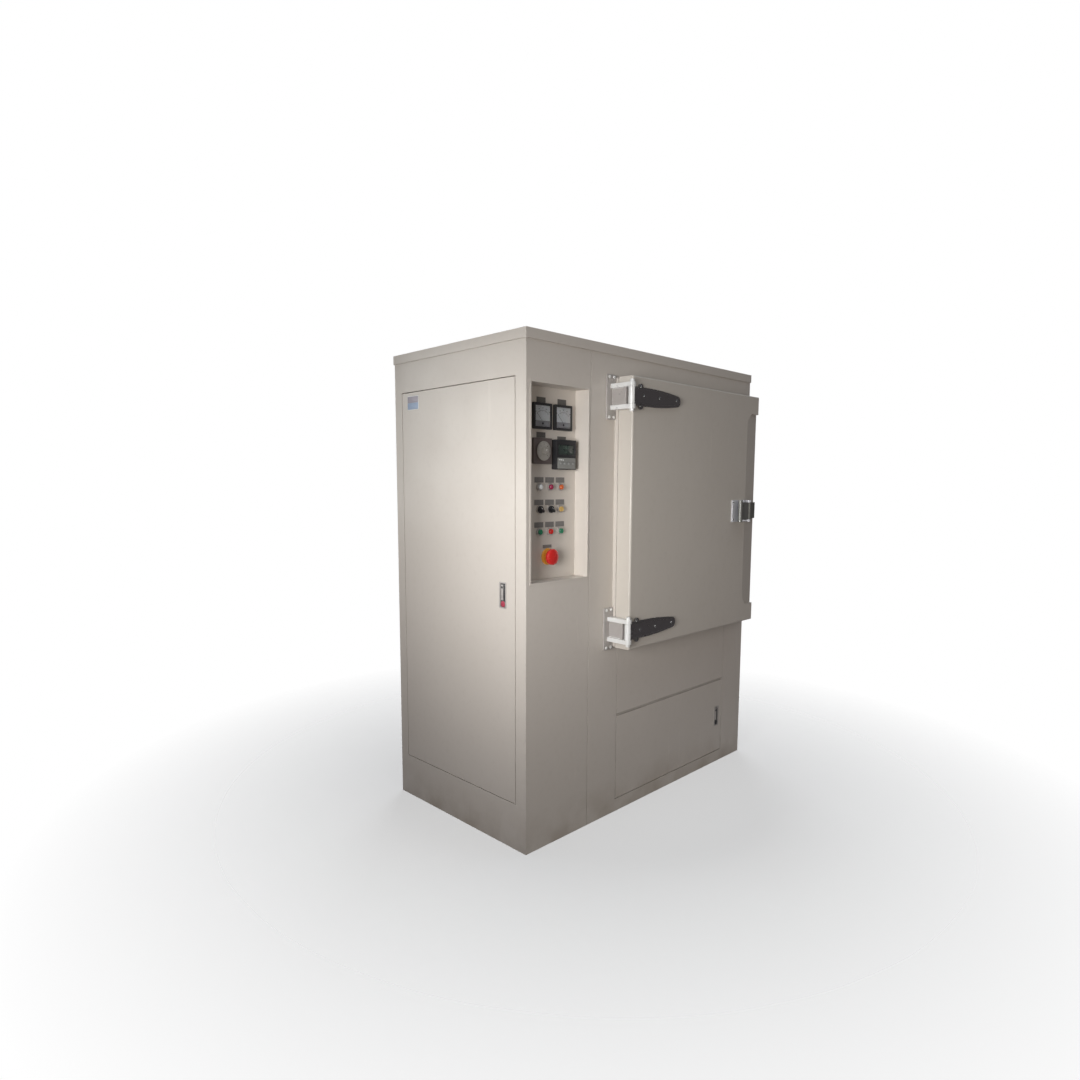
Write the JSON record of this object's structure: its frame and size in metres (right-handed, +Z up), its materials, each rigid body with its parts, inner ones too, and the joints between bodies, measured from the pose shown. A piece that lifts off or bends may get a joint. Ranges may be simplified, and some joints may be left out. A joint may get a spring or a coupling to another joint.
{
  "type": "hot air circulation oven",
  "caption": "Floor-standing hot air circulation oven: an insulated chamber behind a chrome-hinged door, beside a column with recessed instruments.",
  "frame": {"origin": "centre of the cabinet footprint, on the floor", "axes": "+Z up, +X to the right seen from the front, +Y from the front to the back"},
  "size_m": [1.528, 0.938, 1.9],
  "materials": {
    "cabinet_paint": "warm beige-grey semi-gloss paint on sheet steel",
    "door_paint": "warm beige-grey semi-gloss paint on sheet steel",
    "galvanised": "zinc-coated sheet",
    "stainless": "brushed stainless sheet",
    "chrome_plate": "polished chrome plate on castings",
    "silicone": "heat-resistant silicone",
    "black_plastic": "satin black moulded plastic",
    "label_plastic": "dark engraving laminate, bare",
    "white_lens": "translucent white lens",
    "magenta_lens": "translucent red lens",
    "amber_lens": "translucent amber lens",
    "yellow_plastic": "yellow plastic",
    "green_plastic": "green plastic",
    "red_plastic": "red plastic"
  },
  "bodies": {
    "cabinet": {"base_frame": "galvanised", "top_cover": "cabinet_paint", "side_frame": "cabinet_paint", "column_front": "cabinet_paint", "recess_tray": "cabinet_paint", "oven_front": "cabinet_paint", "lower_panel": "cabinet_paint", "right_panel": "cabinet_paint", "rear_panel": "cabinet_paint", "partition": "galvanised", "mounting_plate": "galvanised", "chamber_shell": "galvanised", "chamber_liner": "stainless", "air_ducts": "stainless", "shelf_rails": "stainless", "door_jamb": "cabinet_paint", "door_gasket": "silicone", "meters": "black_plastic", "timer": "black_plastic", "controller": "black_plastic", "label_plates": "label_plastic", "lamp_white": "white_lens", "lamp_red": "magenta_lens", "lamp_amber": "amber_lens", "device_bezels": "chrome_plate", "stop_base": "yellow_plastic", "hinge_brackets": "chrome_plate", "latch_keeper": "chrome_plate"},
    "oven_door": {"door_shell": "door_paint", "door_pan": "stainless", "hinge_straps": "chrome_plate", "latch_base": "chrome_plate", "latch_tongue": "black_plastic"},
    "door_latch": {"latch_handle": "chrome_plate"},
    "control_door": {"control_door": "cabinet_paint", "control_lock": "chrome_plate"},
    "access_door": {"access_door": "cabinet_paint", "access_lock": "chrome_plate"},
    "stop_button": {"stop_head": "red_plastic"},
    "yellow_button": {"button_yellow": "yellow_plastic"},
    "green_button_left": {"button_green_left": "green_plastic"},
    "red_button": {"button_red": "red_plastic"},
    "green_button_right": {"button_green_right": "green_plastic"},
    "left_selector": {"selector_left": "black_plastic"},
    "right_selector": {"selector_right": "black_plastic"}
  },
  "joints": [
    {"name": "oven_door_hinge", "type": "hinge", "parent": "cabinet", "child": "oven_door", "pos_m": [-0.302, -0.501, 1.246], "axis": [0, 0, -1], "range_deg": [0, 120]},
    {"name": "latch_pull", "type": "hinge", "parent": "oven_door", "child": "door_latch", "pos_m": [0.57, -0.52, 1.246], "axis": [0, 0, 1], "range_deg": [0, 50], "stiffness_Nm_per_rad": 2, "springref_deg": -5.73},
    {"name": "control_door_hinge", "type": "hinge", "parent": "cabinet", "child": "control_door", "pos_m": [-0.7535, 0.336, 0.96], "axis": [0, 0, -1], "range_deg": [0, 110]},
    {"name": "access_door_hinge", "type": "hinge", "parent": "cabinet", "child": "access_door", "pos_m": [-0.228, -0.3935, 0.234], "axis": [0, 0, -1], "range_deg": [0, 110]},
    {"name": "stop_press", "type": "slide", "parent": "cabinet", "child": "stop_button", "axis": [0, 1, 0], "range_m": [0, 0.005]},
    {"name": "yellow_press", "type": "slide", "parent": "cabinet", "child": "yellow_button", "axis": [0, 1, 0], "range_m": [0, 0.004], "stiffness_N_per_m": 400, "springref_m": -0.002},
    {"name": "green_left_press", "type": "slide", "parent": "cabinet", "child": "green_button_left", "axis": [0, 1, 0], "range_m": [0, 0.004], "stiffness_N_per_m": 400, "springref_m": -0.002},
    {"name": "red_press", "type": "slide", "parent": "cabinet", "child": "red_button", "axis": [0, 1, 0], "range_m": [0, 0.004], "stiffness_N_per_m": 400, "springref_m": -0.002},
    {"name": "green_right_press", "type": "slide", "parent": "cabinet", "child": "green_button_right", "axis": [0, 1, 0], "range_m": [0, 0.004], "stiffness_N_per_m": 400, "springref_m": -0.002},
    {"name": "left_selector_turn", "type": "hinge", "parent": "cabinet", "child": "left_selector", "pos_m": [-0.632, -0.334, 1.273], "axis": [0, -1, 0], "range_deg": [-90, 0]},
    {"name": "right_selector_turn", "type": "hinge", "parent": "cabinet", "child": "right_selector", "pos_m": [-0.576, -0.334, 1.273], "axis": [0, -1, 0], "range_deg": [-90, 0]}
  ]
}
